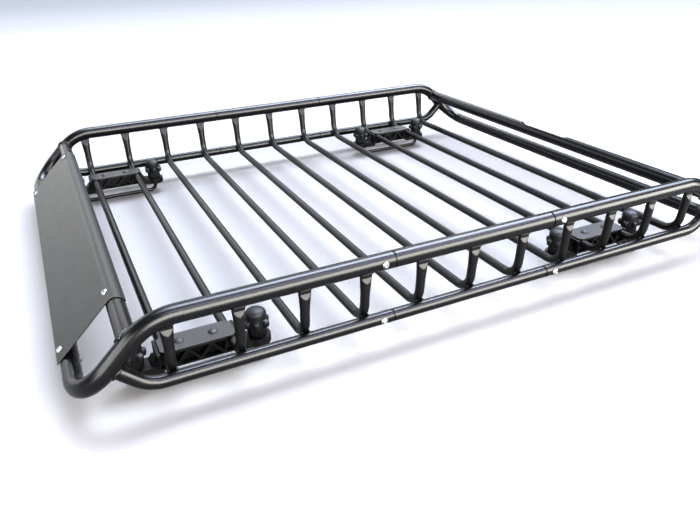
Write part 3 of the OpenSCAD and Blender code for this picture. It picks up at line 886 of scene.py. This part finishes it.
def nut_geo(af=10.0, h=5.0, hole=3.0, seg=48):
    """Hexagon nut with turned-off corners, standing on z 0."""
    g = Geo()
    corner = af / 2 / math.cos(math.pi / 6)
    def hx(z, cut):
        pts = []
        for k in range(seg):
            a = 2 * math.pi * k / seg
            rr = min(hex_r(a, af), cut)
            pts.append((rr * math.cos(a), rr * math.sin(a), z))
        return g.ring(pts)
    def rn(r, z):
        return g.ring([(r * math.cos(2 * math.pi * k / seg), r * math.sin(2 * math.pi * k / seg), z) for k in range(seg)])
    rings = [rn(hole, 0.6), rn(hole + 0.6, 0.0), hx(0.0, af / 2 * 0.97), hx(0.25, af / 2 + 0.15), hx(0.75, corner), hx(h - 0.75, corner),
             hx(h - 0.25, af / 2 + 0.15), hx(h, af / 2 * 0.97), rn(hole + 0.6, h), rn(hole, h - 0.6)]
    for a, b in zip(rings, rings[1:]):
        g.bridge(a, b)
    g.bridge(rings[-1], rings[0])
    return g


HEAD = button_head()
NUT = nut_geo(10.0, 5.0, 3.02)
heads, nuts = Geo(), Geo()
for sy in (1, -1):
    for x in (0.0, SLOPE_L):
        m = slope_m() @ Matrix.Translation((x, sy * FAIR_BOLT_Y, fo + 0.02))
        spin = Matrix.Rotation(random.uniform(0, 6.28), 4, "Z")
        heads.add(HEAD, m @ spin)
        mn = slope_m() @ Matrix.Translation((x, sy * FAIR_BOLT_Y, -RAIL_R - 5.05))
        nuts.add(NUT, mn @ spin)
        heads.add(thread_rod(2.97, 0.0, 8.0), slope_m() @ Matrix.Translation((x, sy * FAIR_BOLT_Y, -RAIL_R + 0.0)) @ Matrix.Rotation(math.pi, 4, "X"))
piece("fairing_screws", heads, ZINC, nodes=["fairing_bolts"], sharp=32)
piece("fairing_hex_nuts", nuts, ZINC, nodes=["fairing_nuts"], sharp=24)
heads, nuts = Geo(), Geo()
for sy in (1, -1):
    for sx in (1, -1):
        for (y, z, r) in ((RAIL_Y, RAIL_Z, RAIL_R), (LOW_Y, LOW_Z, LOW_R)):
            base = Matrix.Scale(sy, 4, (0, 1, 0)) @ Matrix.Translation((sx * BOLT_X, y, z)) @ Matrix.Rotation(-math.pi / 2, 4, "X")
            spin = Matrix.Rotation(random.uniform(0, 6.28), 4, "Z")
            heads.add(HEAD, base @ Matrix.Translation((0, 0, r - 0.05)) @ spin)
            # the nut is captive inside the spigot
            seat = math.sqrt((r - 2.55) ** 2 - (5 / math.cos(math.pi / 6)) ** 2) - 5
            nuts.add(NUT, base @ Matrix.Translation((0, 0, seat)))
            heads.add(thread_rod(2.97, 0.0, 10.4), base @ Matrix.Translation((0, 0, r - 0.05)) @ Matrix.Rotation(math.pi, 4, "X"))
piece("section_screws", heads, ZINC, nodes=["section_bolts"], sharp=32)
piece("section_hex_nuts", nuts, ZINC, nodes=["section_nuts"], sharp=24)

# ---------------------------------------------------------------- clamps
PLATE_L, PLATE_W, PLATE_T, PLATE_Z = 106.0, 42.0, 2.0, BAR_R + 0.3
FOOT, TOP, EAR_TOP, EAR_FOOT = -18.0, 6.6, -14.0, -26.0


def saddle_geo():
    base = box(-58, 58, -21, 21, FOOT, TOP)
    ops = []
    for s in (-1, 1):
        ops.append(("+", box(min(s * 50, s * 88), max(s * 50, s * 88), -15, 15, EAR_FOOT, EAR_TOP)))
        ops.append(("+", rod(19, EAR_FOOT, EAR_TOP, (s * LEG_X, 0), 64)))
        ops.append(("+", prism([(s * 56, -15), (s * 67.5, -15), (s * 57, 1)], -12, 12)))
    # shallow arch in the foot between the ears' ends
    for s in (-1, 1):
        x = s * PITCH / 2
        r = BAR_R + 0.3
        pts = [(x - r, 12), (x - r, 0)] + [(x + r * math.cos(math.pi + math.pi * k / 20), r * math.sin(math.pi + math.pi * k / 20)) for k in range(1, 20)] + [(x + r, 0), (x + r, 12)]
        ops.append(("-", prism(pts, -30, 30)))
        ops.append(("-", rod(LEG_X * 0 + 4.35, -40, 0, (s * LEG_X, 0), 32)))
        ops.append(("-", rod(3.1, -30, 30, (s * 24, 0), 32)))
        hexa = [(s * 24 + 6.1 * math.cos(math.pi * k / 3), 6.1 * math.sin(math.pi * k / 3)) for k in range(6)]
        ops.append(("-", prism(hexa, -22, FOOT + 6.5, "z")))
        for y in (-12, 12):
            ops.append(("-", box(s * 58 - 3, s * 58 + 3, y - 5, y + 5, -9, 3)))
    # a zigzag of thin ribs between deep windows
    tri = [((-13.6, 3.8), (13.6, 3.8), (0, -12.2)), ((19.4, 3.8), (36.2, 3.8), (32.6, -11.6)), ((-19.4, 3.8), (-36.2, 3.8), (-32.6, -11.6)),
           ((3.0, -15.6), (30.0, -15.6), (16.5, 0.8)), ((-3.0, -15.6), (-30.0, -15.6), (-16.5, 0.8)),
           ((35.6, -15.6), (55.0, -15.6), (55.0, -9.6), (37.2, -9.6)), ((-35.6, -15.6), (-55.0, -15.6), (-55.0, -9.6), (-37.2, -9.6))]
    for t in tri:
        for y0, y1 in ((-25, -11.0), (11.0, 25)):
            ops.append(("-", prism(list(t), y0, y1)))
    return boolean(base, ops)


def plate_geo():
    h, w, c = PLATE_L / 2, PLATE_W / 2, 6.0
    base = prism([(-h + c, -w), (h - c, -w), (h, -w + c), (h, w - c), (h - c, w), (-h + c, w), (-h, w - c), (-h, -w + c)],
                 PLATE_Z, PLATE_Z + PLATE_T, "z")
    return boolean(base, [("-", rod(3.25, 0, 20, (s * 24, 0), 32)) for s in (-1, 1)])


def carriage_geo():
    g = Geo()
    for s in (-1, 1):
        h = Geo()
        prof = [(7.0 - 0.2, 0.0), (7.0, 0.25), (6.95, 0.6)]
        R, dz = 9.0, 3.6 - 9.0
        for k in range(1, 11):
            r = 6.9 * math.cos(math.pi / 2 * k / 10)
            prof.append((max(r, 0.0) if k < 10 else 0.0, math.sqrt(R * R - r * r) + dz + 0.02))
        lathe(prof, 48, h)
        first = list(range(48))
        h.cap(first, True)
        g.add(h, Matrix.Translation((s * 24, 0, PLATE_Z + PLATE_T)))
        g.add(thread_rod(2.97, 0, 24.5, seg=20), Matrix.Translation((s * 24, 0, PLATE_Z + PLATE_T)) @ Matrix.Rotation(math.pi, 4, "X"))
    return g


def u_bolt_geo():
    g = Geo()
    path = Path((-LEG_X, 0, -36.0), (0, 0, -1))
    path.line((-LEG_X, 0, -DROP + 14))
    path.p[0] = Vector((-LEG_X, 0, -30.0))
    path = Path((-LEG_X, 0, -28.0), (0, 0, -1)).line((-LEG_X, 0, -DROP + 14))
    path.arc((-LEG_X + 14, 0, -DROP + 14), (0, -1, 0), math.pi / 2, 14)
    path.line((LEG_X - 14, 0, -DROP))
    path.arc((LEG_X - 14, 0, -DROP + 14), (0, -1, 0), math.pi / 2, 14)
    path.line((LEG_X, 0, -28.0))
    sweep(path, 4.0, 28, first=(0, 1, 0), chamfer=0, geo=g)
    for s in (-1, 1):
        g.add(thread_rod(3.98, 0, 54.0, pitch=1.25, depth=0.7, seg=24, per=5), Matrix.Translation((s * LEG_X, 0, -28.2)))
    return g


def smooth(a, b, x):
    t = max(0.0, min(1.0, (x - a) / (b - a)))
    return t * t * (3 - 2 * t)


def knob_geo():
    """Hand knob: ribbed barrel, six grip lobes and a smooth domed cap, with a blind bore."""
    seg = 192

    def lobes(r, z, a):
        out = r
        if z < 0.4 and r > 13.3:
            out = r - 0.85 * (0.5 - 0.5 * math.cos(a * 24)) ** 0.6
        # lobes grow out of the barrel
        amp = smooth(-0.2, 2.2, z) * (1 - smooth(9.6, 12.9, z))
        if amp > 0 and r > 10:
            best = out
            for k in range(6):
                da = (a - k * math.pi / 3 + math.pi) % (2 * math.pi) - math.pi
                c, lr = 15.6, 4.6
                s = c * math.sin(da)
                if abs(s) < lr and math.cos(da) > 0:
                    reach = c * math.cos(da) + math.sqrt(lr * lr - s * s)
                    best = max(best, reach)
            out = out + (best - out) * amp
        return out

    prof = [(4.1, 26.4), (4.1, EAR_TOP + 1.0), (4.7, EAR_TOP + 0.3), (12.6, EAR_TOP + 0.3), (13.2, EAR_TOP + 1.0)]
    for z in (-12.6, -9, -5, -2, -0.4, 0.2):
        prof.append((13.9, z))
    for z in (0.5, 0.9, 1.3, 1.7, 4, 7, 10, 11.0, 11.5, 12.0, 12.4, 12.7, 13.1):
        prof.append((13.9, z))
    prof += [(14.35, 13.3), (14.75, 13.8), (14.8, 15.0), (14.8, 20.0), (14.75, 21.0)]
    for k in range(1, 13):
        t = math.pi / 2 * k / 12
        prof.append((14.7 * math.cos(t) if k < 12 else 0.0, 21.2 + 8.0 * math.sin(t)))
    g = lathe(prof, seg, shape=lobes)
    g.cap(list(range(seg)))
    return g


SADDLE, CPLATE, CARRIAGE, UBOLT, KNOBG = saddle_geo(), plate_geo(), carriage_geo(), u_bolt_geo(), knob_geo()
for cname, cx, sy in (("front_left", FRONT_CX, 1), ("front_right", FRONT_CX, -1), ("rear_left", REAR_CX, 1), ("rear_right", REAR_CX, -1)):
    at = Matrix.Translation((cx, sy * CLAMP_Y, 0))
    body = f"{cname}_clamp"
    piece(f"{cname}_saddle_body", Geo().add(SADDLE, at), PLASTIC, body, [f"{cname}_saddle"], bevel=0.55, sharp=30)
    piece(f"{cname}_plate", Geo().add(CPLATE, at), PLATE, body, [f"{cname}_clamp_plate"], bevel=0.45, sharp=30)
    piece(f"{cname}_carriage_bolts", Geo().add(CARRIAGE, at), BOLT_BLACK, body, [f"{cname}_plate_bolts"], sharp=40)
    g = Geo()
    for s in (-1, 1):
        g.add(NUT, at @ Matrix.Translation((s * 24, 0, FOOT + 1.2)) @ Matrix.Rotation(random.uniform(-0.05, 0.05), 4, "Z"))
    piece(f"{cname}_hex_nuts", g, ZINC, body, [f"{cname}_plate_nuts"], sharp=24)
    piece(f"{cname}_u_rod", Geo().add(UBOLT, at), STEEL_BLACK, f"{cname}_u_bolt", [f"{cname}_u_bolt"], sharp=50)
    for s, kn in ((1, "front"), (-1, "rear")):
        m = at @ Matrix.Translation((s * LEG_X, 0, 0)) @ Matrix.Rotation(random.uniform(0, 1.04), 4, "Z")
        piece(f"{cname}_{kn}_hand_knob", Geo().add(KNOBG, m), KNOB, f"{cname}_{kn}_knob", [f"{cname}_{kn}_knob"], sharp=50)

# ---------------------------------------------------------------- floor
bm = bmesh.new()
S, N = 14.0, 8
vs = [[bm.verts.new((-S + 2 * S * i / N, -S + 2 * S * j / N, 0.0)) for j in range(N + 1)] for i in range(N + 1)]
for i in range(N):
    for j in range(N):
        bm.faces.new((vs[i][j], vs[i + 1][j], vs[i + 1][j + 1], vs[i][j + 1]))
me = bpy.data.meshes.new("floor")
bm.to_mesh(me)
bm.free()
floor = bpy.data.objects.new("floor", me)
bpy.context.scene.collection.objects.link(floor)
fm = bpy.data.materials.new("pale_floor")
fm.use_nodes = True
nt = fm.node_tree
b = nt.nodes["Principled BSDF"]
b.inputs["Roughness"].default_value = 0.75
b.inputs["Specular IOR Level"].default_value = 0.2
tn = nt.nodes.new("ShaderNodeTexNoise")
tn.inputs["Scale"].default_value = 3.0
rp = nt.nodes.new("ShaderNodeValToRGB")
rp.color_ramp.elements[0].color = (0.176, 0.172, 0.170, 1)
rp.color_ramp.elements[1].color = (0.184, 0.180, 0.178, 1)
nt.links.new(tn.outputs["Fac"], rp.inputs[0])
nt.links.new(rp.outputs[0], b.inputs["Base Color"])
me.materials.append(fm)

# ---------------------------------------------------------------- light
scene = bpy.context.scene
world = bpy.data.worlds.new("studio")
scene.world = world
world.use_nodes = True
bg = world.node_tree.nodes["Background"]
bg.inputs[0].default_value = (0.93, 0.96, 1.0, 1)
bg.inputs[1].default_value = 0.35
scene.view_settings.view_transform = "Standard"
scene.view_settings.look = "None"
scene.view_settings.gamma = 0.7


def area(name, at, to, size, radiance, colour=(1, 1, 1)):
    l = bpy.data.lights.new(name, "AREA")
    l.shape = "RECTANGLE"
    l.size, l.size_y = size
    l.energy = radiance * math.pi * size[0] * size[1]
    l.color = colour
    o = bpy.data.objects.new(name, l)
    o.location = at
    o.rotation_euler = (Vector(to) - Vector(at)).to_track_quat("-Z", "Y").to_euler()
    scene.collection.objects.link(o)
    return o


def far_lamp(name, direction, strength, angle, colour=(1, 1, 1)):
    """A large soft lamp far away, so that the floor is evenly lit."""
    l = bpy.data.lights.new(name, "SUN")
    l.energy = strength
    l.angle = math.radians(angle)
    l.color = colour
    o = bpy.data.objects.new(name, l)
    o.rotation_euler = Vector(direction).to_track_quat("Z", "Y").to_euler()
    scene.collection.objects.link(o)
    return o


# a row of soft lamps overhead runs along the rails and draws one long highlight on each
for k, lx in enumerate((-0.05, -0.27, -0.48, -0.67)):
    side = math.sqrt(1 - lx * lx)
    up = math.radians(106)
    far_lamp(f"sky_{k + 1}", (lx, side * math.cos(up), side * math.sin(up)), 3.5, 36, (0.80, 0.87, 1.0))
# soft boxes: two on the near side, two on the far side for the bars and the fairing
area("near_low_box", (-1.6, 3.4, 1.25), (-0.9, 0.4, 0.15), (6.6, 2.4), 22.0, (1.0, 0.972, 0.92))
area("near_high_box", (-1.2, 2.3, 3.6), (-0.7, 0.2, 0.15), (4.4, 1.6), 12.0, (0.78, 0.80, 1.0))
area("far_high_box", (-1.2, -3.9, 2.4), (0, 0, 0), (4.6, 1.8), 4.2, (0.97, 0.98, 1.0))
area("far_left_box", (2.8, -3.5, 2.2), (0, 0, 0), (3.4, 1.9), 4.0, (0.98, 0.99, 1.0))
# two on the front side for the bent corners
area("front_near_box", (3.5, 2.3, 0.95), (0.5, 0.45, 0.08), (2.6, 1.7), 14.0, (1.0, 0.98, 0.94))
area("front_sky_box", (4.0, 0.3, 1.75), (0.5, 0.45, 0.08), (2.2, 1.1), 16.0, (0.86, 0.91, 1.0))
area("far_low_box", (1.9, -3.2, 0.45), (0.55, 0, 0.1), (3.0, 0.9), 2.1, (1.0, 1.0, 0.95))

# ---------------------------------------------------------------- camera
cam = bpy.data.cameras.new("camera")
cam.sensor_fit = "HORIZONTAL"
cam.sensor_width = 36.0
cam.lens = 644.4 / 700 * 36.0
co = bpy.data.objects.new("camera", cam)
CAM_AT = (81.6 + HALF, 1159.4, 507.3)
R_RIGHT = Vector((-0.89768282, 0.44006415, -0.02256320))
R_DOWN = Vector((0.21638334, 0.39563493, -0.89255322))
R_FWD = Vector((-0.38385388, -0.80611199, -0.45037723))
rot = Matrix((R_RIGHT, -R_DOWN, -R_FWD)).transposed()
co.matrix_world = Matrix.Translation(W(CAM_AT)) @ rot.to_4x4()
scene.collection.objects.link(co)
scene.camera = co
